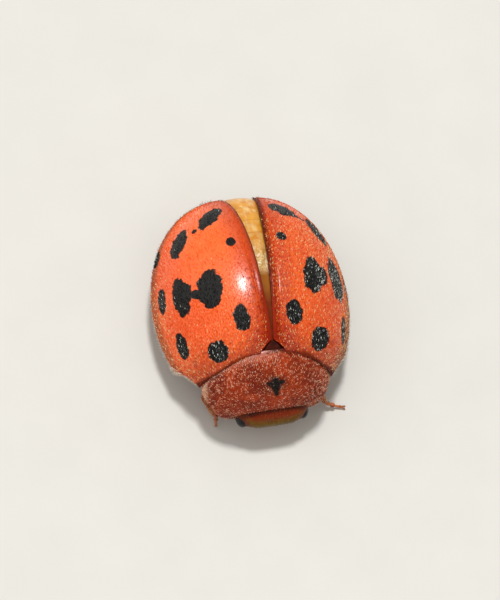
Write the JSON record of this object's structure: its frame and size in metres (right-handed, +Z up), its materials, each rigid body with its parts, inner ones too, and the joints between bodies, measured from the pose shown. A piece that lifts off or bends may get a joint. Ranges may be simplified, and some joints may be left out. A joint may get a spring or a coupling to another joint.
{
  "type": "twenty-four-spot ladybird",
  "caption": "Downy orange-red ladybird with ragged black spots, life size, standing on six legs with its wing cases slightly parted over an orange abdomen.",
  "frame": {"origin": "under the middle of the animal, on the surface that it stands on", "axes": "+Z up, +Y from the head to the tips of the wing cases, +X to the animal's own left"},
  "size_m": [0.0034, 0.004, 0.002],
  "materials": {
    "wing_case_cuticle": "glossy orange-red cuticle with black spots and pale down",
    "pronotum_cuticle": "satin brick-red cuticle with pale down",
    "head_cuticle": "glossy red-brown cuticle",
    "scutellum_cuticle": "dark brown cuticle",
    "eye_lens": "glossy black, faceted",
    "limb_cuticle": "satin amber-brown cuticle with fine hair",
    "body_cuticle": "soft satin orange-yellow skin",
    "wing_membrane": "thin creased glittering membrane",
    "down": "pale translucent hair"
  },
  "bodies": {
    "root": {"abdomen": "body_cuticle", "antenna_left": "limb_cuticle", "antenna_right": "limb_cuticle", "elytron_left": "wing_case_cuticle", "elytron_right": "wing_case_cuticle", "eye_left": "eye_lens", "eye_right": "eye_lens", "fore_leg_left_femur": "limb_cuticle", "fore_leg_left_tarsus": "limb_cuticle", "fore_leg_left_tibia": "limb_cuticle", "fore_leg_right_femur": "limb_cuticle", "fore_leg_right_tarsus": "limb_cuticle", "fore_leg_right_tibia": "limb_cuticle", "head": "head_cuticle", "hind_leg_left_femur": "limb_cuticle", "hind_leg_left_tarsus": "limb_cuticle", "hind_leg_left_tibia": "limb_cuticle", "hind_leg_right_femur": "limb_cuticle", "hind_leg_right_tarsus": "limb_cuticle", "hind_leg_right_tibia": "limb_cuticle", "hind_wing_left": "wing_membrane", "hind_wing_right": "wing_membrane", "middle_leg_left_femur": "limb_cuticle", "middle_leg_left_tarsus": "limb_cuticle", "middle_leg_left_tibia": "limb_cuticle", "middle_leg_right_femur": "limb_cuticle", "middle_leg_right_tarsus": "limb_cuticle", "middle_leg_right_tibia": "limb_cuticle", "mouthparts": "limb_cuticle", "pronotum": "pronotum_cuticle", "prothorax": "body_cuticle", "scutellum": "scutellum_cuticle", "thorax": "body_cuticle"}
  },
  "joints": []
}
